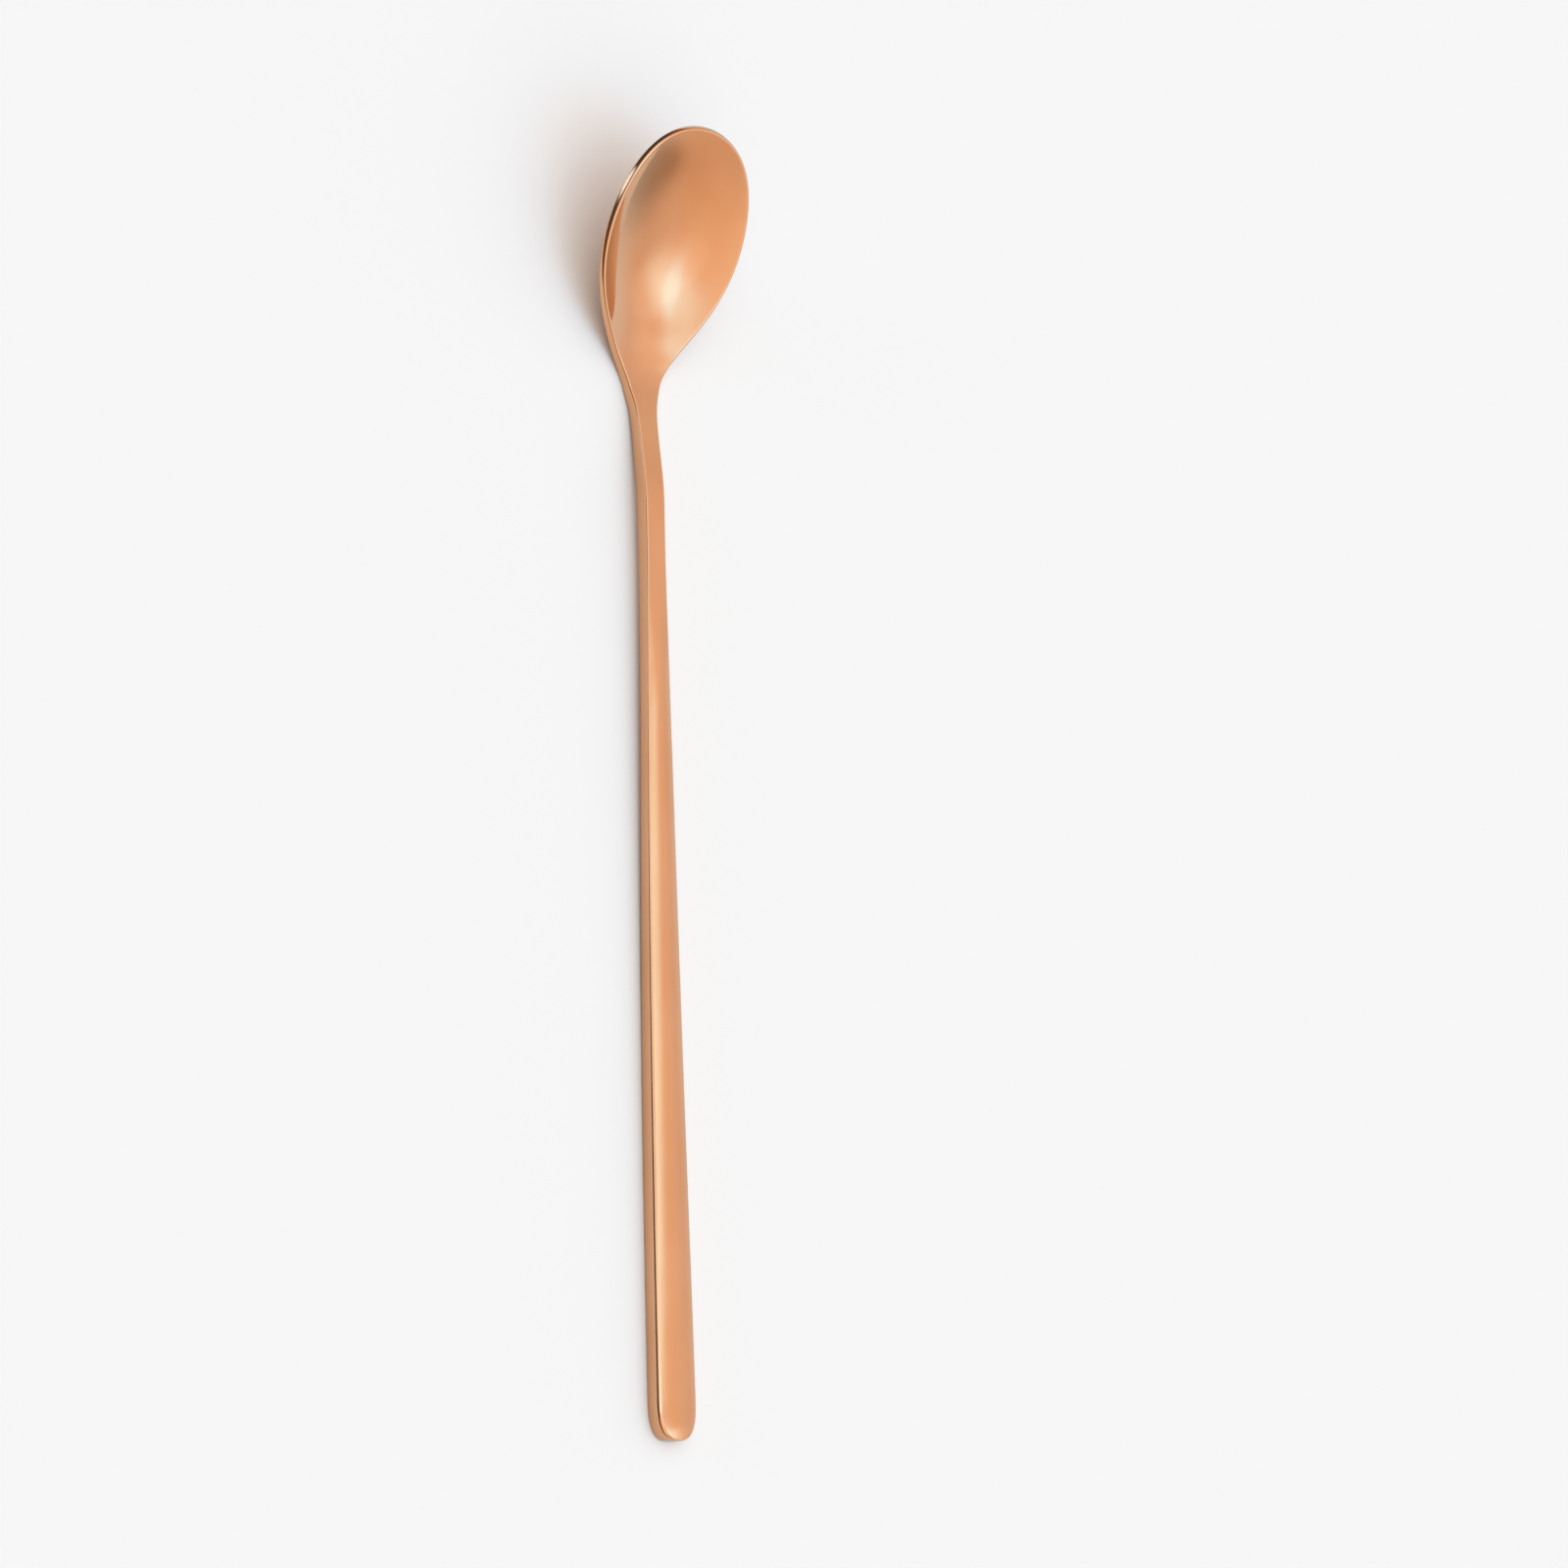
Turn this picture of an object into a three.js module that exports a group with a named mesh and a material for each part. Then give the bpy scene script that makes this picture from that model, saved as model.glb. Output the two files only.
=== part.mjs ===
// A long-handled cocktail spoon: a pressed bowl with a tang, brazed into the socket of a bar handle.
// Millimetres, +Z up. The spoon lies on the plane z = 0 along Y, with the bowl towards +Y.
import * as THREE from 'three';

// Overall sizes.
const spoonLength = 200;
const bowlLength = 34.3;
const bowlWidth = 26;
const bowlDepth = 5;
const neckLength = 19;
const neckWidth = 3.76;
const handleEndWidth = 7.76;

// Thicknesses.
const rimThickness = 0.95;
const neckThickness = 2.25;
const waistThickness = 2.05;
const endThickness = 2.65;

// Side profile: angles in degrees, the half length of each bend, and the drop of the tip.
const bowlAngle = 26.6;
const neckAngle = 6.9;
const heelBend = 4.8;
const neckBend = 3.6;
const noseDropHeight = 0.63;
const noseDropLength = 10;

// Lengths along the spoon: where each stretch starts or runs out.
const heelThickening = 11;
const neckRunIn = 2.5;
const hollowFade = 8.4;
const hollowRunOut = 18.7;
const flatSetback = 10.4;
const flatLength = 10.1;
const jointSetback = 4.5;
const parallelLength = 8;
const waistSetback = 30;
const padLength = 30;
const endRoundLength = 7;

// Edges, and the crown of the handle's top face.
const rimRound = 0.33;
const rimLowRound = 0.1;
const shoulderRound = 0.7;
const undersideRound = 0.3;
const crownHeight = 0.4;

// The joint: a tang on the bowl in a blind socket of the handle.
const socketWall = 0.55;
const tangLength = 9;
const tangClearance = 0.1;

// Shape numbers without a unit: how full the outline, the hollow and the rounded ends are.
const noseFullness = 0.6;
const heelFullness = 0.8625;
const heelPower = 4.84;
const frontFlatness = 0.23;
const taperPower = 1.4;
const endRoundPower = 3;

// Facets: steps along the outline, rows across the faces, and how far the columns fan at each end.
const noseSteps = 18;
const heelSteps = 30;
const barSteps = 16;
const endSteps = 8;
const faceRows = 7;
const roundRows = 2;
const tipFan = 9;
const endFan = 2.6;
const probe = 0.001;

// Stations are distances from the tip of the bowl towards the handle's end.
const wideStation = bowlLength / 2;
const neckStation = bowlLength + neckLength;
const jointStation = neckStation + jointSetback;
const taperStation = jointStation + parallelLength;
const waistStation = jointStation + waistSetback;
const padStation = spoonLength - padLength;
const sagStation = (taperStation + padStation) / 2;
const endStation = spoonLength - endRoundLength;

const { clamp, degToRad, lerp, smoothstep } = THREE.MathUtils;
const rise = (degrees) => Math.tan(degToRad(degrees));
const place = (x, s, z) => new THREE.Vector3(x, spoonLength / 2 - s, z);
const stationOf = (point) => spoonLength / 2 - point.y;

// A bend is zero before it and a line of slope 1 after it, with smooth curvature between.
function bend(s, centre, halfLength) {
  const q = clamp((s - centre) / (2 * halfLength) + 0.5, 0, 1);
  return q < 1 ? 2 * halfLength * (q ** 3 - q ** 4 / 2) : s - centre;
}

// The square of the bowl's half width, before scaling: round at the tip, falling away to the heel.
function bowlBulge(s) {
  return s * Math.exp(-s / (noseFullness * bowlLength) - (s / (heelFullness * bowlLength)) ** heelPower);
}

function bulgeScale() {
  let largest = 0;
  for (let s = 0; s < bowlLength; s += 0.05) {
    largest = Math.max(largest, bowlBulge(s));
  }
  return (bowlWidth / 2) ** 2 / largest;
}

const bowlScale = bulgeScale();

// The strip that makes the neck and handle: parallel behind the joint, then widening to the end.
function barHalfWidth(s) {
  const run = bend(s, taperStation, parallelLength / 2) / (spoonLength - taperStation);
  const taper = 1 - (1 - Math.min(run, 1)) ** taperPower;
  const grown = smoothstep(s, bowlLength - neckRunIn, bowlLength + heelBend);
  return grown * lerp(neckWidth, handleEndWidth, taper) / 2;
}

function halfWidth(s) {
  const body = Math.sqrt(bowlScale * bowlBulge(s) + barHalfWidth(s) ** 2);
  const end = clamp((s - endStation) / endRoundLength, 0, 1);
  return body * (1 - end ** endRoundPower) ** (1 / endRoundPower);
}

function thickness(s) {
  const heel = lerp(rimThickness, neckThickness, smoothstep(s, bowlLength - heelThickening, neckStation));
  const waist = lerp(heel, waistThickness, smoothstep(s, jointStation, waistStation));
  return lerp(waist, endThickness, smoothstep(s, waistStation, padStation));
}

// Height of the top edge: bowl, neck and handle are straight runs joined by bends.
let heelHeight = 0;
let handleFall = 0;

function edgeHeight(s) {
  const bowlRun = heelHeight + rise(bowlAngle) * (bowlLength - s);
  const heelTurn = (rise(bowlAngle) + rise(neckAngle)) * bend(s, bowlLength, heelBend);
  const neckTurn = (rise(neckAngle) + handleFall) * bend(s, neckStation, neckBend);
  const sag = handleFall * bend(s, sagStation, padStation - sagStation);
  const drop = noseDropHeight * Math.max(1 - s / noseDropLength, 0) ** 3;
  return bowlRun + heelTurn - neckTurn + sag - drop;
}

// Depth of the hollow under the top edge: flatter in the front of the bowl, fading out into the neck.
function hollow(x, s) {
  const share = (halfWidth(s) ** 2 - x ** 2) / (bowlWidth / 2) ** 2;
  const front = 1 - frontFlatness * Math.exp(-(((s - flatSetback) / flatLength) ** 2));
  const left = 1 - smoothstep(s, bowlLength - hollowFade, bowlLength + hollowRunOut);
  return bowlDepth * front * left * share;
}

// The top face without its crown, and its normal. The underside is the same face, one thickness below.
const sheet = (x, s) => place(x, s, edgeHeight(s) - hollow(x, s));

function sheetNormal(x, s) {
  const across = sheet(x + probe, s).sub(sheet(x - probe, s));
  const along = sheet(x, Math.max(s - probe, 0)).sub(sheet(x, s + probe));
  return across.cross(along).normalize();
}

const underside = (x, s) => sheet(x, s).addScaledVector(sheetNormal(x, s), -thickness(s));

// The heel is set down on z = 0, and the handle falls until the pad at its end lies there too.
function seatOnTable() {
  let lowest = Infinity;
  for (let s = wideStation; s < neckStation - neckBend; s += 0.1) {
    lowest = Math.min(lowest, underside(0, s).z);
  }
  heelHeight = -lowest;
  handleFall = (heelHeight + rise(neckAngle) * neckLength - endThickness) / (sagStation - neckStation);
}

seatOnTable();

// Stations of the columns, from the round end to the joint. They crowd where the outline turns across.
function bowlStations() {
  const nose = Array.from({ length: noseSteps }, (_, i) => wideStation * (i / noseSteps) ** 2);
  const heel = Array.from({ length: heelSteps + 1 }, (_, i) => lerp(wideStation, jointStation, i / heelSteps));
  return [...nose, ...heel];
}

function handleStations() {
  const turned = (i) => Math.cos(i / endSteps * Math.PI / 2) ** (2 / endRoundPower);
  const end = Array.from({ length: endSteps }, (_, i) => endStation + endRoundLength * turned(i));
  const bar = Array.from({ length: barSteps + 1 }, (_, i) => lerp(endStation, jointStation, i / barSteps));
  return [...end, ...bar];
}

// Where a column starts on the middle line. Near a round end the columns fan out from a short stretch.
function spineStation(s) {
  const nearTip = Math.max(1 - s / bowlLength, 0);
  const nearEnd = Math.max(1 - (spoonLength - s) / (2 * endRoundLength), 0);
  return s + tipFan * nearTip ** 2 - endFan * nearEnd ** 2;
}

// The edge of the top face, with the direction out over the edge and the direction up from the face.
function edgeFrame(side, s) {
  const at = (station) => sheet(side * halfWidth(station), station);
  const edge = at(s);
  const up = sheetNormal(edge.x, s);
  let along = new THREE.Vector3(s > 0 ? side : -side, 0, 0);
  if (s > 0 && s < spoonLength) {
    along = at(Math.max(s - probe, 0)).sub(at(Math.min(s + probe, spoonLength)));
  }
  const out = along.cross(up).multiplyScalar(side).normalize();
  return (inset, drop) => edge.clone().addScaledVector(out, -inset).addScaledVector(up, -drop);
}

// The points of one column: from the middle of the top face, over the edge, to the middle underneath.
function column(side, s) {
  const onEdge = edgeFrame(side, s);
  const topRound = lerp(rimRound, shoulderRound, smoothstep(s, waistStation, padStation));
  const lowRound = lerp(rimLowRound, undersideRound, smoothstep(s, neckStation, waistStation));
  const crown = crownHeight * smoothstep(s, taperStation, waistStation);
  const lean = Math.atan(2 * crown / Math.max(halfWidth(s), topRound));
  const overTop = (turn) => onEdge(topRound * (1 - Math.sin(turn)), topRound * (1 - Math.cos(turn)));
  const underLow = (turn) => onEdge(
    lowRound * (1 - Math.cos(turn)),
    thickness(s) - lowRound * (1 - Math.sin(turn)),
  );
  const spine = spineStation(s);
  const points = [];

  const topLimit = overTop(lean);
  for (let i = 0; i < faceRows; i++) {
    const r = i / faceRows;
    const point = sheet(r * topLimit.x, lerp(spine, stationOf(topLimit), r));
    point.z += crown * (1 - r ** 2);
    points.push(point);
  }
  for (let i = 0; i <= roundRows; i++) {
    points.push(overTop(lerp(lean, Math.PI / 2, i / roundRows)));
  }
  for (let i = 0; i < roundRows; i++) {
    points.push(underLow(i / roundRows * Math.PI / 2));
  }
  const lowLimit = onEdge(lowRound, 0);
  for (let i = faceRows; i >= 0; i--) {
    const r = i / faceRows;
    points.push(underside(r * lowLimit.x, lerp(spine, stationOf(lowLimit), r)));
  }
  if (s === jointStation) {
    points.forEach((point) => point.setY(spoonLength / 2 - jointStation));
  }
  return points;
}

// A closed body: the columns of one side, round the end and back along the other side, then the joint
// face, from which a ring inset by the socket wall is drawn to the tang's or the socket's depth.
function pieceGeometry(stations, firstSide, inset, depth) {
  const positions = [];
  const triangles = [];
  const add = (p) => positions.push(p.x, p.y, p.z) / 3 - 1;
  const quad = (a, b, c, d) => triangles.push(a, b, c, a, c, d);

  const near = stations.toReversed().map((s) => column(firstSide, s).map(add));
  const far = stations.slice(1).map((s, i) => {
    const twin = near[stations.length - 2 - i];
    const inner = column(-firstSide, s).slice(1, -1).map(add);
    return [twin[0], ...inner, twin.at(-1)];
  });
  const columns = [...near, ...far];
  for (let c = 0; c + 1 < columns.length; c++) {
    for (let k = 0; k + 1 < columns[c].length; k++) {
      quad(columns[c][k], columns[c][k + 1], columns[c + 1][k + 1], columns[c + 1][k]);
    }
  }

  const jointRing = [...columns[0], ...columns.at(-1).slice(1, -1).reverse()];
  const section = jointRing.map((i) => new THREE.Vector3().fromArray(positions, 3 * i));
  const box = new THREE.Box3().setFromPoints(section);
  const middle = box.getCenter(new THREE.Vector3());
  const half = box.getSize(new THREE.Vector3()).divideScalar(2);
  const insetRing = (reach) => section.map((p) => add(new THREE.Vector3(
    p.x * (half.x - inset) / half.x,
    middle.y - reach,
    middle.z + (p.z - middle.z) * (half.z - inset) / half.z - handleFall * reach,
  )));
  const rings = [jointRing, insetRing(0), insetRing(depth)];
  const next = (i) => (i + 1) % section.length;
  for (let r = 0; r + 1 < rings.length; r++) {
    section.forEach((_, i) => quad(rings[r][next(i)], rings[r][i], rings[r + 1][i], rings[r + 1][next(i)]));
  }
  const bottom = add(new THREE.Vector3(0, middle.y - depth, middle.z - handleFall * depth));
  section.forEach((_, i) => triangles.push(rings.at(-1)[next(i)], rings.at(-1)[i], bottom));

  const geometry = new THREE.BufferGeometry();
  geometry.setAttribute('position', new THREE.Float32BufferAttribute(positions, 3));
  geometry.setIndex(triangles);
  geometry.computeVertexNormals();
  return geometry;
}

// Polished rose-gold plating.
function piece(name, geometry, colour, roughness) {
  const material = new THREE.MeshStandardMaterial({ color: colour, roughness, metalness: 1 });
  const mesh = new THREE.Mesh(geometry, material);
  mesh.name = name;
  return mesh;
}

function bowl() {
  const geometry = pieceGeometry(bowlStations(), 1, socketWall, tangLength);
  return piece('bowl', geometry, '#e3a883', 0.12);
}

function handle() {
  const inset = socketWall - tangClearance;
  const geometry = pieceGeometry(handleStations(), -1, inset, tangLength + tangClearance);
  return piece('handle', geometry, '#dfa27c', 0.15);
}

// The rim leans out past the tip's station, so the spoon is centred on its own length.
const spoon = new THREE.Group();
spoon.add(bowl(), handle());
spoon.position.y = -new THREE.Box3().setFromObject(spoon).getCenter(new THREE.Vector3()).y;

export default spoon;
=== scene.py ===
# A long-handled cocktail spoon in polished rose-gold plating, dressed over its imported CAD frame.
import math
from collections import namedtuple

import bpy
import numpy as np
from mathutils import Matrix, Vector


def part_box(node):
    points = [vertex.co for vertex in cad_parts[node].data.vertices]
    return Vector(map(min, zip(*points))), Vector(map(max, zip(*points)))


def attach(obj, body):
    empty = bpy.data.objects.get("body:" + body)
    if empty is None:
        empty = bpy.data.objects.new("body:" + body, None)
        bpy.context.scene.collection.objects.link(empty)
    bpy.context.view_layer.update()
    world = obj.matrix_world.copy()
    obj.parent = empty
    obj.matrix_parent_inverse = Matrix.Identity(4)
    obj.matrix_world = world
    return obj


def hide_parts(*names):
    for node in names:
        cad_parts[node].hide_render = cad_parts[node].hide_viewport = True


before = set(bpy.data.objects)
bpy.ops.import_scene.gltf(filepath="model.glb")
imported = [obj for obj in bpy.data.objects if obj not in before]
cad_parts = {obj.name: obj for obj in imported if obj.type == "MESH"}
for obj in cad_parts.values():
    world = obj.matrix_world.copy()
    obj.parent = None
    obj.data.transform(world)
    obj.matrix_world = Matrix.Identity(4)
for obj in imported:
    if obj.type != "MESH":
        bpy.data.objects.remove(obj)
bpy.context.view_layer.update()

# Overall sizes, in millimetres.
SPOON_LENGTH = 200.0
BOWL_LENGTH = 34.3
BOWL_WIDTH = 26.0
BOWL_DEPTH = 5.0
NECK_LENGTH = 19.0
NECK_WIDTH = 3.76
HANDLE_END_WIDTH = 7.76

# Thicknesses.
RIM_THICKNESS = 0.95
NECK_THICKNESS = 2.25
WAIST_THICKNESS = 2.05
END_THICKNESS = 2.65

# Side profile: slopes, the half length of each bend, and the drop of the tip.
BOWL_SLOPE = math.tan(math.radians(26.6))
NECK_SLOPE = math.tan(math.radians(6.9))
HEEL_BEND = 4.8
NECK_BEND = 3.6
NOSE_DROP_HEIGHT = 0.63
NOSE_DROP_LENGTH = 10.0

# Lengths along the spoon: where each stretch starts or runs out.
HEEL_THICKENING = 11.0
NECK_RUN_IN = 2.5
HOLLOW_FADE = 8.4
HOLLOW_RUN_OUT = 18.7
FLAT_SETBACK = 10.4
FLAT_LENGTH = 10.1
JOINT_SETBACK = 4.5
PARALLEL_LENGTH = 8.0
WAIST_SETBACK = 30.0
PAD_LENGTH = 30.0
END_ROUND_LENGTH = 7.0

# Edges, and the crown of the handle's top face.
RIM_ROUND = 0.33
RIM_LOW_ROUND = 0.1
SHOULDER_ROUND = 0.7
UNDERSIDE_ROUND = 0.3
CROWN_HEIGHT = 0.4

# The joint: a tang on the bowl in a blind socket of the handle.
SOCKET_WALL = 0.55
TANG_LENGTH = 9.0
TANG_CLEARANCE = 0.1

# Shape numbers without a unit.
NOSE_FULLNESS = 0.6
HEEL_FULLNESS = 0.8625
HEEL_POWER = 4.84
FRONT_FLATNESS = 0.23
TAPER_POWER = 1.4
END_ROUND_POWER = 3.0

# Mesh fineness: steps along the outline, rows across the faces and the edge rounds, fans at the round ends.
# Rows crowd towards the edge of a face, and the nearness to an edge fades fast.
NOSE_STEPS = 48
HEEL_STEPS = 90
BAR_STEPS = 110
END_STEPS = 30
FACE_ROWS = 30
ROUND_ROWS = 6
TIP_FAN = 9.0
END_FAN = 2.6
ROW_CROWDING = 1.35
EDGE_FADE_POWER = 24
SHARP_ANGLE = math.radians(50)

# Steps of the searches along the spoon, and the small step that slopes are taken over.
WIDTH_STEP = 0.05
SEAT_STEP = 0.1
PROBE = 0.001

# Stations are distances from the tip of the bowl towards the handle's end.
WIDE_STATION = BOWL_LENGTH / 2
NECK_STATION = BOWL_LENGTH + NECK_LENGTH
JOINT_STATION = NECK_STATION + JOINT_SETBACK
TAPER_STATION = JOINT_STATION + PARALLEL_LENGTH
WAIST_STATION = JOINT_STATION + WAIST_SETBACK
PAD_STATION = SPOON_LENGTH - PAD_LENGTH
SAG_STATION = (TAPER_STATION + PAD_STATION) / 2
END_STATION = SPOON_LENGTH - END_ROUND_LENGTH

MM = 0.001
TIP_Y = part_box("handle")[0].y / MM + SPOON_LENGTH

# The photograph's view: the camera leans to the spoon's left and a little towards the handle.
IMAGE_SIZE = 1600
VIEW_LEAN = math.radians(40.464)
VIEW_PITCH = math.radians(8.861)
VIEW_ROLL = -0.0312
CAMERA_DISTANCE = 1.3
PIXELS_PER_METRE = 6662.1
MIDDLE_IN_IMAGE = (662.5, 805.59)
SENSOR_WIDTH = 36.0
NEAR_CLIP = 0.05
FAR_CLIP = 50.0

# Plating colours, from deep to light, the paler metal that polishing leaves along the edges of the faces,
# and the tint of the metal seen at a grazing angle.
ROSE_DEEP = (0.683, 0.347, 0.181)
ROSE_MAIN = (0.723, 0.387, 0.213)
ROSE_EDGE = (0.735, 0.4, 0.225)
GRAZING_TINT = (0.66, 0.92, 1.0)

# Polish: it is duller at the neck, which a wheel reaches less well.
BOWL_ROUGHNESS = 0.06
HANDLE_ROUGHNESS = 0.1
NECK_ROUGHNESS = 0.22
HEEL_HAZE_LENGTH = 6.5

# Unevenness of the plating: cycles in a metre along X, Y and Z, and the noise values taken as low and high.
TONE_SCALE = (70, 45, 70)
TONE_RANGE = (0.35, 0.65)
HAZE_SCALE = (260, 180, 260)
HAZE_RANGE = (0.3, 0.75)
WEAR_SCALE = (900, 260, 900)
WEAR_RANGE = (0.35, 0.7)
WAVE_SCALE = (120, 80, 120)
BOWL_LINE_SCALE = (1600, 160, 1600)
HANDLE_LINE_SCALE = (2600, 90, 2600)
LINE_RANGE = (0.3, 0.7)

# What the unevenness does: share of edge metal, change in shares of the roughness, depths of bumps in metres.
WEAR_SHARES = (0.25, 0.9)
HAZE_SHARES = (-0.2, 0.35)
LINE_SHARES = (-0.12, 0.12)
BOWL_LINE_DEPTH = 0.000002
HANDLE_LINE_DEPTH = 0.000003
WAVE_DEPTH = 0.00002

# The floor, a hair below the spoon, and the even light of the studio with its lowest level.
FLOOR_COLOUR = (0.962, 0.975, 0.979)
FLOOR_ROUGHNESS = 0.9
FLOOR_HALF_SIZE = 4.0
FLOOR_DROP = 0.00003
STUDIO_LEVEL = 1.0
DARKEST_LEVEL = 0.1

# Soft oval patches of the studio's sky. A spot is in degrees from overhead towards +X and +Y, along is the
# long direction seen from above, length and width are the sines of half angles, colour is the light added,
# or taken away where it is negative, and a higher edge is sharper.
Patch = namedtuple("Patch", "spot along length width colour edge")
PATCH_FACING = (-0.1, 0.3)

# The large soft box overhead, with its brighter middle, its core and its glow to the side.
SOFT_BOX = Patch((13, -16), (0.97, 0.23), 1.03, 0.54, (0.23, 0.09, -0.03), 3.2)
SOFT_BOX_MIDDLE = Patch((14, -17), (0.44, 0.9), 0.24, 0.55, (0.14, 0.72, 1.22), 1.5)
SOFT_BOX_CORE = Patch((16, -21), (-0.32, 0.95), 0.28, 0.14, (0.0, 0.33, 0.73), 2.1)
SOFT_BOX_SIDE = Patch((29, -23), (0.96, 0.29), 0.54, 0.3, (0.12, 0.23, 0.31), 3.5)

# A narrow strip box that lights the handle's top face, a fill for the neck and a glint on the rim.
STRIP_BOX = Patch((-7, 4), (1, 0.14), 0.5, 0.055, (0.29, 0.96, 1.43), 2.6)
LEFT_FILL = Patch((-32, 30), (0.68, 0.73), 0.6, 0.35, (0.45, 0.42, 0.38), 2.0)
RIM_GLINT = Patch((-75, 28), (0.48, 0.87), 0.22, 0.14, (1.5, 2.2, 3.2), 2.0)

# The right side: a wide warm shade, a cooler middle, and a narrow dark card that the bowl mirrors.
RIGHT_SHADE = Patch((57, 5), (0.23, 0.97), 1.06, 0.55, (-0.22, -0.6, -0.9), 0.7)
COOL_RIGHT = Patch((65, 8), (0, 1), 0.48, 0.55, (-0.02, 0.4, 0.78), 1.1)
RIGHT_CARD = Patch((74, -36), (0.95, -0.32), 0.37, 0.1, (-0.4, -0.39, -0.39), 1.7)

# Dark cards low on the left and far side, which draw the dark lines of the rim and the handle's shoulder.
LEFT_CARD = Patch((-72, -12), (0, 1), 1.15, 0.5, (-0.86, -0.88, -0.9), 2.5)
FAR_CARD = Patch((-22, 74), (0.96, 0.29), 0.75, 0.28, (-0.8, -0.82, -0.84), 2.0)
SHOULDER_CARD = Patch((-52, 1), (0, 1), 0.17, 0.28, (-0.75, -0.8, -0.85), 2.0)

SOFT_BOXES = (SOFT_BOX, SOFT_BOX_MIDDLE, SOFT_BOX_CORE, SOFT_BOX_SIDE)
RIGHT_SIDE = (RIGHT_CARD, COOL_RIGHT, RIGHT_SHADE)
DARK_CARDS = (LEFT_CARD, FAR_CARD, SHOULDER_CARD)
STUDIO_PATCHES = (*SOFT_BOXES, STRIP_BOX, LEFT_FILL, *RIGHT_SIDE, *DARK_CARDS, RIM_GLINT)


def smooth(s, start, stop):
    """From 0 at start to 1 at stop, level at both."""
    q = np.clip((s - start) / (stop - start), 0, 1)
    return q * q * (3 - 2 * q)


def lerp(a, b, t):
    return a + (b - a) * t


def bend(s, centre, half_length):
    """Zero before the bend and a line of slope 1 after it, with smooth curvature between."""
    q = np.clip((s - centre) / (2 * half_length) + 0.5, 0, 1)
    return np.where(q < 1, 2 * half_length * (q**3 - q**4 / 2), s - centre)


def bowl_bulge(s):
    """Square of the bowl's half width, before scaling: round at the tip, falling away to the heel."""
    s = np.maximum(s, 0)
    return s * np.exp(-s / (NOSE_FULLNESS * BOWL_LENGTH) - (s / (HEEL_FULLNESS * BOWL_LENGTH)) ** HEEL_POWER)


BOWL_SCALE = (BOWL_WIDTH / 2) ** 2 / bowl_bulge(np.arange(0, BOWL_LENGTH, WIDTH_STEP)).max()


def bar_half_width(s):
    """Half width of the neck and handle, which grows from nothing at the heel."""
    run = np.minimum(bend(s, TAPER_STATION, PARALLEL_LENGTH / 2) / (SPOON_LENGTH - TAPER_STATION), 1)
    taper = 1 - (1 - run) ** TAPER_POWER
    grown = smooth(s, BOWL_LENGTH - NECK_RUN_IN, BOWL_LENGTH + HEEL_BEND)
    return grown * lerp(NECK_WIDTH, HANDLE_END_WIDTH, taper) / 2


def half_width(s):
    """Half width of the whole outline, rounded off at the handle's end."""
    body = np.sqrt(BOWL_SCALE * bowl_bulge(s) + bar_half_width(s) ** 2)
    end = np.clip((s - END_STATION) / END_ROUND_LENGTH, 0, 1)
    return body * (1 - end**END_ROUND_POWER) ** (1 / END_ROUND_POWER)


def thickness(s):
    """Thin at the rim, stout at the neck, a little thinner at the waist and thickest at the end."""
    heel = lerp(RIM_THICKNESS, NECK_THICKNESS, smooth(s, BOWL_LENGTH - HEEL_THICKENING, NECK_STATION))
    waist = lerp(heel, WAIST_THICKNESS, smooth(s, JOINT_STATION, WAIST_STATION))
    return lerp(waist, END_THICKNESS, smooth(s, WAIST_STATION, PAD_STATION))


# Height of the heel and fall of the handle, found by seat_on_table.
seat = {"heel": 0.0, "fall": 0.0}


def edge_height(s):
    """Height of the top edge: bowl, neck and handle are straight runs joined by bends."""
    bowl_run = seat["heel"] + BOWL_SLOPE * (BOWL_LENGTH - s)
    heel_turn = (BOWL_SLOPE + NECK_SLOPE) * bend(s, BOWL_LENGTH, HEEL_BEND)
    neck_turn = (NECK_SLOPE + seat["fall"]) * bend(s, NECK_STATION, NECK_BEND)
    sag = seat["fall"] * bend(s, SAG_STATION, PAD_STATION - SAG_STATION)
    drop = NOSE_DROP_HEIGHT * np.maximum(1 - s / NOSE_DROP_LENGTH, 0) ** 3
    return bowl_run + heel_turn - neck_turn + sag - drop


def hollow(x, s):
    """Depth of the hollow under the top edge: flatter in front, fading into the neck."""
    share = (half_width(s) ** 2 - x**2) / (BOWL_WIDTH / 2) ** 2
    front = 1 - FRONT_FLATNESS * np.exp(-(((s - FLAT_SETBACK) / FLAT_LENGTH) ** 2))
    left = 1 - smooth(s, BOWL_LENGTH - HOLLOW_FADE, BOWL_LENGTH + HOLLOW_RUN_OUT)
    return BOWL_DEPTH * front * left * share


def sheet(x, s):
    """The top face without its crown."""
    x, s = np.broadcast_arrays(np.asarray(x, float), np.asarray(s, float))
    return np.stack([x, TIP_Y - s, edge_height(s) - hollow(x, s)], -1)


def unit(vectors):
    return vectors / np.linalg.norm(vectors, axis=-1, keepdims=True)


def sheet_normal(x, s):
    """Direction up from the top face."""
    across = sheet(x + PROBE, s) - sheet(x - PROBE, s)
    along = sheet(x, np.maximum(s - PROBE, 0)) - sheet(x, s + PROBE)
    return unit(np.cross(across, along))


def underside(x, s):
    """The bottom face: the sheet's thickness laid off square to the top face."""
    return sheet(x, s) - sheet_normal(x, s) * thickness(np.asarray(s, float))[..., None]


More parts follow.
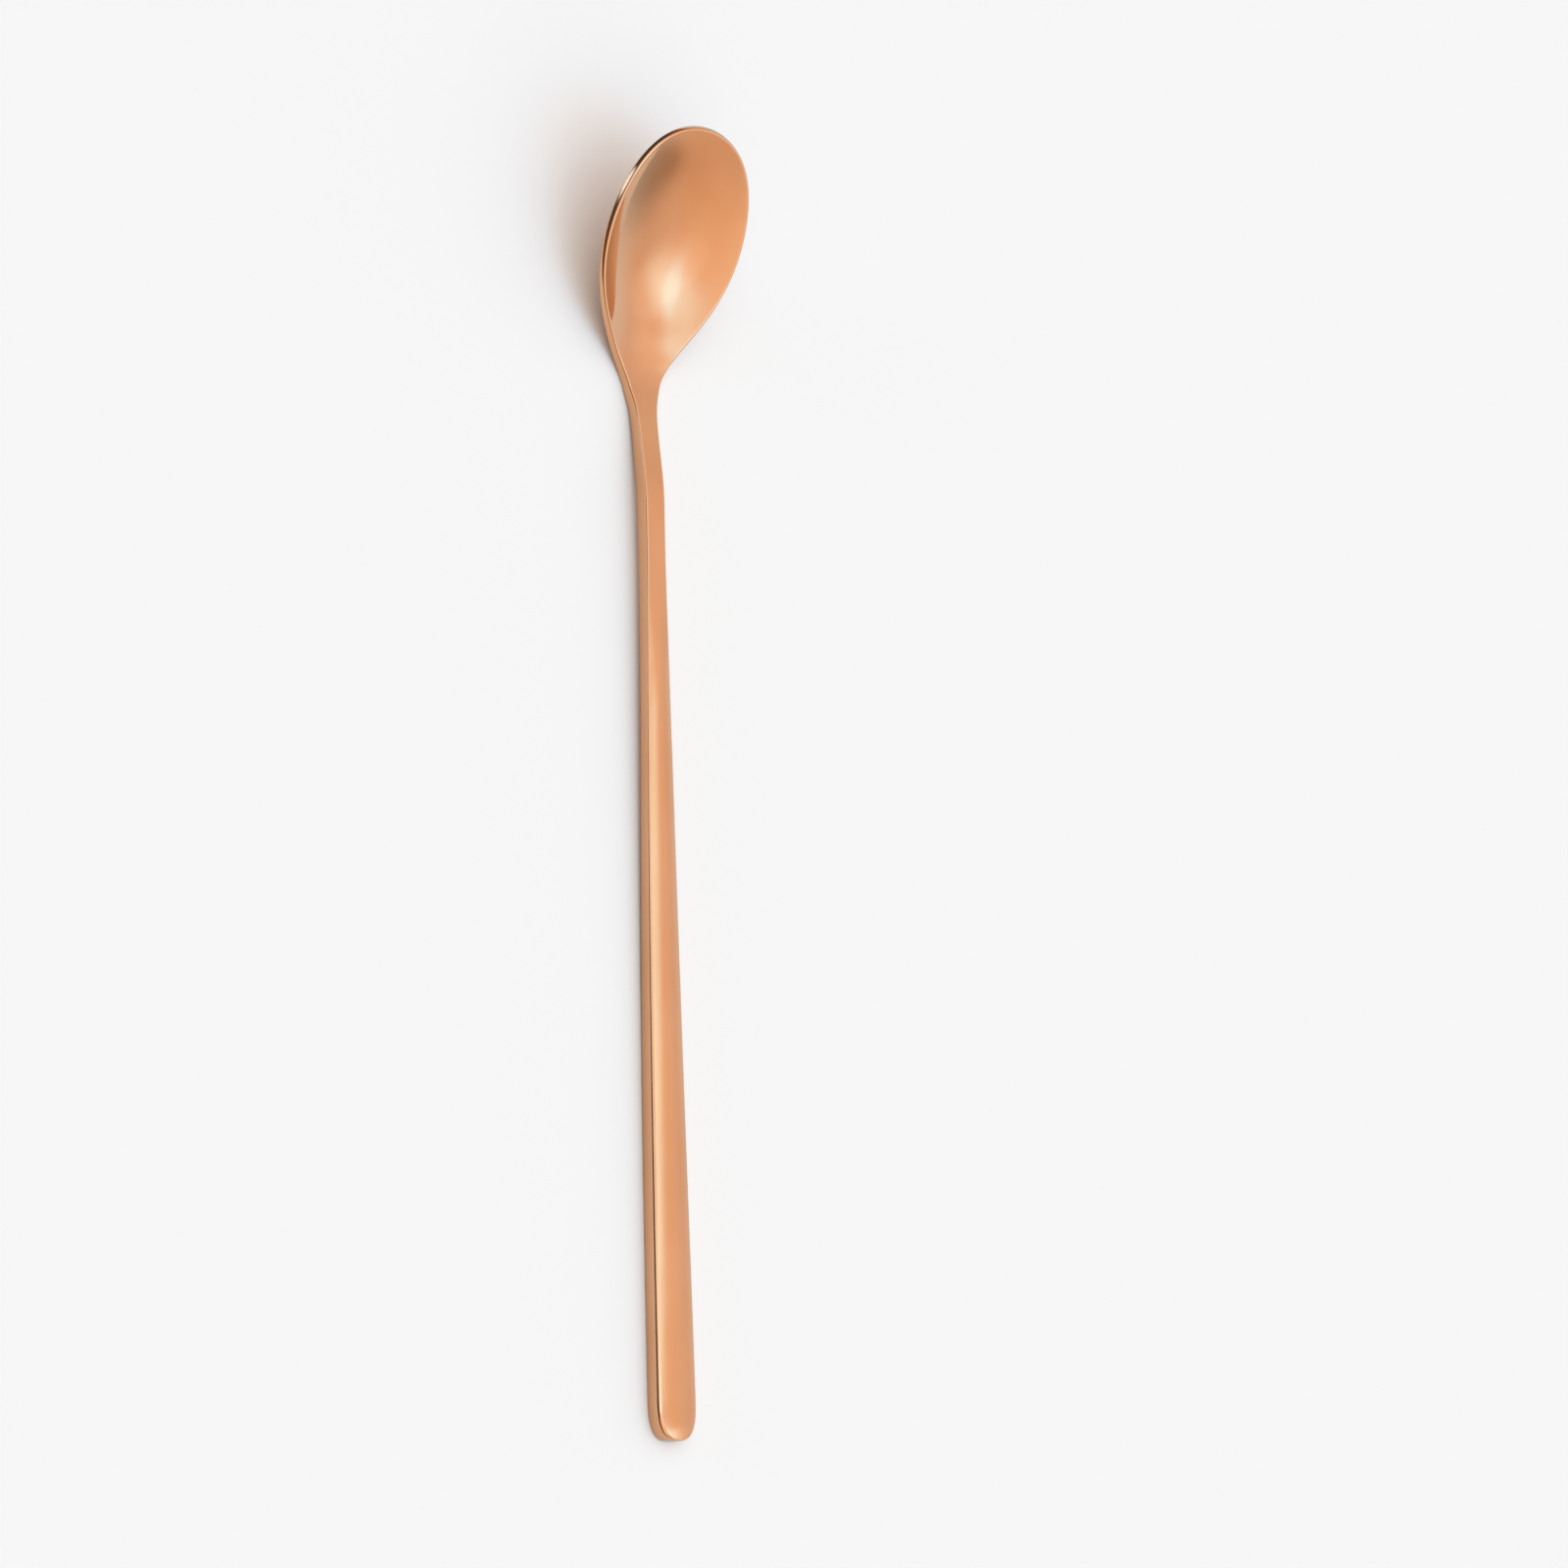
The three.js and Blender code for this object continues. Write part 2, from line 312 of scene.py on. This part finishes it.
def seat_on_table():
    """Sets the heel down on z = 0, and lets the handle fall until the pad at its end lies there too."""
    s = np.arange(WIDE_STATION, NECK_STATION - NECK_BEND, SEAT_STEP)
    seat["heel"] = -underside(0 * s, s)[:, 2].min()
    drop = seat["heel"] + NECK_SLOPE * NECK_LENGTH - END_THICKNESS
    seat["fall"] = drop / (SAG_STATION - NECK_STATION)


def bowl_stations():
    """From the tip, where the steps are short, to the joint."""
    nose = WIDE_STATION * (np.arange(NOSE_STEPS) / NOSE_STEPS) ** 2
    return np.concatenate([nose, np.linspace(WIDE_STATION, JOINT_STATION, HEEL_STEPS + 1)])


def handle_stations():
    """From the round end to the joint."""
    turned = np.cos(np.arange(END_STEPS) / END_STEPS * math.pi / 2) ** (2 / END_ROUND_POWER)
    end = END_STATION + END_ROUND_LENGTH * turned
    return np.concatenate([end, np.linspace(END_STATION, JOINT_STATION, BAR_STEPS + 1)])


def spine_stations(s):
    """Where each column starts on the middle line. Near a round end the columns fan out."""
    near_tip = np.maximum(1 - s / BOWL_LENGTH, 0)
    near_end = np.maximum(1 - (SPOON_LENGTH - s) / (2 * END_ROUND_LENGTH), 0)
    return s + TIP_FAN * near_tip**2 - END_FAN * near_end**2


def edge_frame(side, s):
    """The edge of the top face, the direction out over it and the direction up from the face."""
    edge = sheet(side * half_width(s), s)
    up = sheet_normal(side * half_width(s), s)
    before, after = np.maximum(s - PROBE, 0), np.minimum(s + PROBE, SPOON_LENGTH)
    along = sheet(side * half_width(before), before) - sheet(side * half_width(after), after)
    along[s <= 0] = (-side, 0, 0)
    along[s >= SPOON_LENGTH] = (side, 0, 0)
    return edge, unit(np.cross(along, up) * side), up


def half_surface(side, s):
    """Points of one side, columns by rows: middle of the top face, over the edge, middle underneath.

    Also gives each row's nearness to the edge of a face: 1 on that edge, 0 on the wall and in the middle.
    """
    edge, out, up = edge_frame(side, s)
    top_round = lerp(RIM_ROUND, SHOULDER_ROUND, smooth(s, WAIST_STATION, PAD_STATION))
    low_round = lerp(RIM_LOW_ROUND, UNDERSIDE_ROUND, smooth(s, NECK_STATION, WAIST_STATION))
    crown = CROWN_HEIGHT * smooth(s, TAPER_STATION, WAIST_STATION)
    lean = np.arctan(2 * crown / np.maximum(half_width(s), top_round))
    spine = spine_stations(s)

    def on_edge(inset, drop):
        return edge - out * inset[:, None] - up * drop[:, None]

    def over_top(turn):
        return on_edge(top_round * (1 - np.sin(turn)), top_round * (1 - np.cos(turn)))

    def under_low(turn):
        return on_edge(low_round * (1 - np.cos(turn)), thickness(s) - low_round * (1 - np.sin(turn)))

    rows = []
    nearness = []
    across = 1 - (1 - np.linspace(0, 1, FACE_ROWS + 1)) ** ROW_CROWDING
    top_limit = over_top(lean)
    for r in across[:-1]:
        points = sheet(r * top_limit[:, 0], lerp(spine, TIP_Y - top_limit[:, 1], r))
        points[:, 2] += crown * (1 - r**2)
        rows.append(points)
        nearness.append(r**EDGE_FADE_POWER)
    for turn in np.linspace(0, 1, ROUND_ROWS + 1):
        rows.append(over_top(lerp(lean, math.pi / 2, turn)))
        nearness.append(1 - turn)
    for turn in np.arange(ROUND_ROWS) / ROUND_ROWS:
        rows.append(under_low(np.full_like(s, turn * math.pi / 2)))
        nearness.append(turn)
    low_limit = on_edge(low_round, 0 * s)
    for r in across[::-1]:
        rows.append(underside(r * low_limit[:, 0], lerp(spine, TIP_Y - low_limit[:, 1], r)))
        nearness.append(r**EDGE_FADE_POWER)
    surface = np.stack(rows, 1)
    surface[s == JOINT_STATION, :, 1] = TIP_Y - JOINT_STATION
    return surface, np.array(nearness)


def spoon_surface(stations, first_side):
    """Columns along one side, round the end and back along the other, with the middle lines shared."""
    near, nearness = half_surface(first_side, stations[::-1])
    far, _ = half_surface(-first_side, stations[1:])
    columns = np.concatenate([near, far])
    count, rows = columns.shape[:2]
    index = np.arange(count * rows).reshape(count, rows)
    middle = len(stations) - 1
    for row in (0, rows - 1):
        index[middle + 1 :, row] = index[:middle, row][::-1]
    return columns.reshape(-1, 3), index, np.tile(nearness, count)


def joint_rings(points, index, inset, depth):
    """The joint face's ring, the same ring inset, that ring at the given depth, and its middle there."""
    ring = list(index[0]) + list(index[-1][1:-1][::-1])
    section = points[ring]
    low, high = section.min(0), section.max(0)
    middle, half = (low + high) / 2, (high - low) / 2
    inner = section.copy()
    inner[:, 0] *= (half[0] - inset) / half[0]
    inner[:, 2] = middle[2] + (section[:, 2] - middle[2]) * (half[2] - inset) / half[2]
    inner[:, 1] = middle[1]
    reach = np.array([0, -depth, -seat["fall"] * depth])
    return ring, inner, inner + reach, middle * (0, 1, 1) + reach


def spoon_piece(name, stations, first_side, inset, depth):
    """One closed piece of the spoon: its outer faces, then its tang or socket from the joint inwards."""
    points, index, nearness = spoon_surface(stations, first_side)
    ring, inner, deep, bottom = joint_rings(points, index, inset, depth)
    faces = []
    for c in range(len(index) - 1):
        for k in range(index.shape[1] - 1):
            faces.append((index[c, k], index[c, k + 1], index[c + 1, k + 1], index[c + 1, k]))
    count, size = len(points), len(ring)
    rings = [ring, list(range(count, count + size)), list(range(count + size, count + 2 * size))]
    last = count + 2 * size
    for outer_ring, inner_ring in zip(rings, rings[1:]):
        for i in range(size):
            j = (i + 1) % size
            faces.append((outer_ring[j], outer_ring[i], inner_ring[i], inner_ring[j]))
    for i in range(size):
        faces.append((rings[-1][(i + 1) % size], rings[-1][i], last))
    points = np.concatenate([points, inner, deep, bottom[None]])
    nearness = np.concatenate([nearness, np.zeros(2 * size + 1)])
    return mesh_object(name, points * MM, faces, nearness)


def mesh_object(name, points, faces, nearness):
    """A smooth-shaded object of the points that its faces use, which keeps their nearness as an attribute."""
    used = sorted({int(i) for face in faces for i in face})
    place = {old: new for new, old in enumerate(used)}
    mesh = bpy.data.meshes.new(name)
    mesh.from_pydata(points[used].tolist(), [], [tuple(place[int(i)] for i in face) for face in faces])
    edge = mesh.attributes.new("edge", "FLOAT", "POINT")
    edge.data.foreach_set("value", nearness[used].astype(np.float32))
    mesh.polygons.foreach_set("use_smooth", [True] * len(mesh.polygons))
    mesh.set_sharp_from_angle(angle=SHARP_ANGLE)
    mesh.validate()
    piece = bpy.data.objects.new(name, mesh)
    bpy.context.scene.collection.objects.link(piece)
    return piece


def bowl():
    """The bowl, heel and neck, with the tang."""
    piece = spoon_piece("bowl_polished", bowl_stations(), 1, SOCKET_WALL, TANG_LENGTH)
    piece.data.materials.append(bowl_metal())
    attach(piece, "root")
    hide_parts("bowl")


def handle():
    """The handle, with the socket that takes the tang."""
    inset = SOCKET_WALL - TANG_CLEARANCE
    piece = spoon_piece("handle_polished", handle_stations(), -1, inset, TANG_LENGTH + TANG_CLEARANCE)
    piece.data.materials.append(handle_metal())
    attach(piece, "root")
    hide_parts("handle")


def node(tree, kind, inputs=None, **settings):
    """A node with its settings, and its inputs set to values or linked to other nodes' outputs."""
    made = tree.nodes.new(kind)
    for key, value in settings.items():
        setattr(made, key, value)
    for key, value in (inputs or {}).items():
        if isinstance(value, bpy.types.NodeSocket):
            tree.links.new(value, made.inputs[key])
        else:
            made.inputs[key].default_value = value
    return made


def math_node(tree, operation, a, b=0.0):
    return node(tree, "ShaderNodeMath", {0: a, 1: b}, operation=operation).outputs[0]


def stretched_noise(tree, coordinates, scale, detail):
    """Noise with its own scale along each axis."""
    stretched = node(tree, "ShaderNodeVectorMath", {0: coordinates, 1: scale}, operation="MULTIPLY")
    noise = node(tree, "ShaderNodeTexNoise", {"Vector": stretched.outputs[0], "Scale": 1.0, "Detail": detail})
    return noise.outputs["Fac"]


def mapped(tree, value, source, target=(0, 1)):
    """A value carried from one range to another, and held inside it."""
    inputs = {"Value": value, "From Min": source[0], "From Max": source[1]}
    inputs.update({"To Min": target[0], "To Max": target[1]})
    return node(tree, "ShaderNodeMapRange", inputs).outputs["Result"]


def rgba(colour):
    """A colour for an input: a node's output as it is, or three numbers made opaque."""
    return colour if isinstance(colour, bpy.types.NodeSocket) else (*colour, 1)


def mixed_colour(tree, factor, a, b):
    """A mix of two colours. The mix node keeps its colour inputs and output at these places."""
    first_place, second_place, result_place = 6, 7, 2
    inputs = {"Factor": factor, first_place: rgba(a), second_place: rgba(b)}
    return node(tree, "ShaderNodeMix", inputs, data_type="RGBA").outputs[result_place]


def plated_metal(name, roughness, haze_stations, line_scale, line_depth):
    """Polished plating: uneven tone, hazy patches, fine polishing lines along the spoon, paler edges.

    The polish dulls to that of the neck between the two given stations.
    """
    material = bpy.data.materials.new(name)
    material.use_nodes = True
    tree = material.node_tree
    shader = tree.nodes["Principled BSDF"]
    coordinates = node(tree, "ShaderNodeTexCoord").outputs["Object"]
    edge = node(tree, "ShaderNodeAttribute", attribute_name="edge").outputs["Fac"]

    tone = stretched_noise(tree, coordinates, TONE_SCALE, detail=3)
    haze = stretched_noise(tree, coordinates, HAZE_SCALE, detail=5)
    lines = stretched_noise(tree, coordinates, line_scale, detail=3)
    wear = stretched_noise(tree, coordinates, WEAR_SCALE, detail=4)
    waves = stretched_noise(tree, coordinates, WAVE_SCALE, detail=1)

    colour = mixed_colour(tree, mapped(tree, tone, TONE_RANGE), ROSE_DEEP, ROSE_MAIN)
    worn = math_node(tree, "MULTIPLY", edge, mapped(tree, wear, WEAR_RANGE, WEAR_SHARES))
    tree.links.new(mixed_colour(tree, worn, colour, ROSE_EDGE), shader.inputs["Base Color"])

    haze_run = [(TIP_Y - station) * MM for station in haze_stations]
    along = node(tree, "ShaderNodeSeparateXYZ", {0: coordinates}).outputs["Y"]
    polish = mapped(tree, along, haze_run, (roughness, NECK_ROUGHNESS))
    patchy = mapped(tree, haze, HAZE_RANGE, [share * roughness for share in HAZE_SHARES])
    lined = mapped(tree, lines, LINE_RANGE, [share * roughness for share in LINE_SHARES])
    uneven = math_node(tree, "ADD", patchy, lined)
    tree.links.new(math_node(tree, "ADD", polish, uneven), shader.inputs["Roughness"])

    rolling = node(tree, "ShaderNodeBump", {"Height": waves, "Strength": 1.0, "Distance": WAVE_DEPTH})
    inputs = {"Height": lines, "Strength": 1.0, "Distance": line_depth, "Normal": rolling.outputs[0]}
    tree.links.new(node(tree, "ShaderNodeBump", inputs).outputs[0], shader.inputs["Normal"])
    shader.inputs["Metallic"].default_value = 1.0
    shader.inputs["Specular Tint"].default_value = (*GRAZING_TINT, 1)
    return material


def bowl_metal():
    haze_stations = (BOWL_LENGTH - HEEL_HAZE_LENGTH, BOWL_LENGTH)
    name = "bowl_metal_polished"
    return plated_metal(name, BOWL_ROUGHNESS, haze_stations, BOWL_LINE_SCALE, BOWL_LINE_DEPTH)


def handle_metal():
    haze_stations = (WAIST_STATION, JOINT_STATION)
    name = "handle_metal_polished"
    return plated_metal(name, HANDLE_ROUGHNESS, haze_stations, HANDLE_LINE_SCALE, HANDLE_LINE_DEPTH)


def floor():
    """A plain pale floor, which keeps the spoon's soft shadow."""
    half = FLOOR_HALF_SIZE
    mesh = bpy.data.meshes.new("floor")
    corners = [(-half, -half, 0), (half, -half, 0), (half, half, 0), (-half, half, 0)]
    mesh.from_pydata(corners, [], [(0, 1, 2, 3)])
    plane = bpy.data.objects.new("floor", mesh)
    plane.location.z = -FLOOR_DROP
    bpy.context.scene.collection.objects.link(plane)
    mesh.materials.append(floor_material())


def floor_material():
    material = bpy.data.materials.new("floor_paper")
    material.use_nodes = True
    tree = material.node_tree
    shader = tree.nodes["Principled BSDF"]
    shader.inputs["Base Color"].default_value = (*FLOOR_COLOUR, 1)
    shader.inputs["Roughness"].default_value = FLOOR_ROUGHNESS
    shader.inputs["Specular IOR Level"].default_value = 0.0
    return material


def sky_direction(right, forward):
    """Unit vector for a spot of the sky, in degrees from overhead towards +X and +Y."""
    angle = math.radians(math.hypot(right, forward))
    turn = math.atan2(forward, right)
    return Vector((math.sin(angle) * math.cos(turn), math.sin(angle) * math.sin(turn), math.cos(angle)))


def add_patch(tree, ray, level, patch):
    """The level of the sky with a patch of light or shade added to it."""
    centre = sky_direction(*patch.spot)
    first = Vector((*patch.along, 0))
    first = (first - centre * first.dot(centre)).normalized()
    second = centre.cross(first)

    def dot(axis):
        return node(tree, "ShaderNodeVectorMath", {0: ray, 1: axis}, operation="DOT_PRODUCT").outputs["Value"]

    u = math_node(tree, "POWER", math_node(tree, "DIVIDE", dot(first), patch.length), 2.0)
    v = math_node(tree, "POWER", math_node(tree, "DIVIDE", dot(second), patch.width), 2.0)
    spread = math_node(tree, "POWER", math_node(tree, "ADD", u, v), patch.edge)
    oval = math_node(tree, "EXPONENT", math_node(tree, "MULTIPLY", spread, -1.0))
    facing = mapped(tree, dot(centre), PATCH_FACING)
    shown = math_node(tree, "MULTIPLY", oval, facing)
    inputs = {0: shown, 1: patch.colour, 2: level}
    return node(tree, "ShaderNodeVectorMath", inputs, operation="MULTIPLY_ADD").outputs[0]


def studio():
    """Even soft studio light with its patches, held above the lowest level."""
    world = bpy.data.worlds.new("studio")
    world.use_nodes = True
    tree = world.node_tree
    ray = node(tree, "ShaderNodeTexCoord").outputs["Generated"]
    level = (STUDIO_LEVEL, STUDIO_LEVEL, STUDIO_LEVEL)
    for patch in STUDIO_PATCHES:
        level = add_patch(tree, ray, level, patch)
    darkest = (DARKEST_LEVEL, DARKEST_LEVEL, DARKEST_LEVEL)
    level = node(tree, "ShaderNodeVectorMath", {0: level, 1: darkest}, operation="MAXIMUM").outputs[0]
    tree.links.new(level, tree.nodes["Background"].inputs["Color"])
    bpy.context.scene.world = world


def camera():
    """The photograph's camera, moved so that the spoon's middle lies off the middle of the picture."""
    lean, pitch, roll = VIEW_LEAN, VIEW_PITCH, VIEW_ROLL
    back = Vector((-math.sin(lean) * math.cos(pitch), -math.sin(pitch), math.cos(lean) * math.cos(pitch)))
    level = Vector((math.cos(lean), 0, math.sin(lean)))
    upright = back.cross(level)
    right = math.cos(roll) * level + math.sin(roll) * upright
    up = math.cos(roll) * upright - math.sin(roll) * level
    shift_right = (MIDDLE_IN_IMAGE[0] - IMAGE_SIZE / 2) / PIXELS_PER_METRE
    shift_up = (IMAGE_SIZE / 2 - MIDDLE_IN_IMAGE[1]) / PIXELS_PER_METRE
    middle = Vector((0, (TIP_Y - SPOON_LENGTH / 2) * MM, 0))
    eye = middle + back * CAMERA_DISTANCE - right * shift_right - up * shift_up

    data = bpy.data.cameras.new("camera")
    data.sensor_fit = "HORIZONTAL"
    data.sensor_width = SENSOR_WIDTH
    data.lens = SENSOR_WIDTH * PIXELS_PER_METRE * CAMERA_DISTANCE / IMAGE_SIZE
    data.clip_start = NEAR_CLIP
    data.clip_end = FAR_CLIP
    eye_object = bpy.data.objects.new("camera", data)
    eye_object.matrix_world = Matrix.Translation(eye) @ Matrix((right, up, back)).transposed().to_4x4()
    bpy.context.scene.collection.objects.link(eye_object)
    bpy.context.scene.camera = eye_object


seat_on_table()
camera()
floor()
studio()
bowl()
handle()
bpy.context.scene.view_settings.view_transform = "Standard"
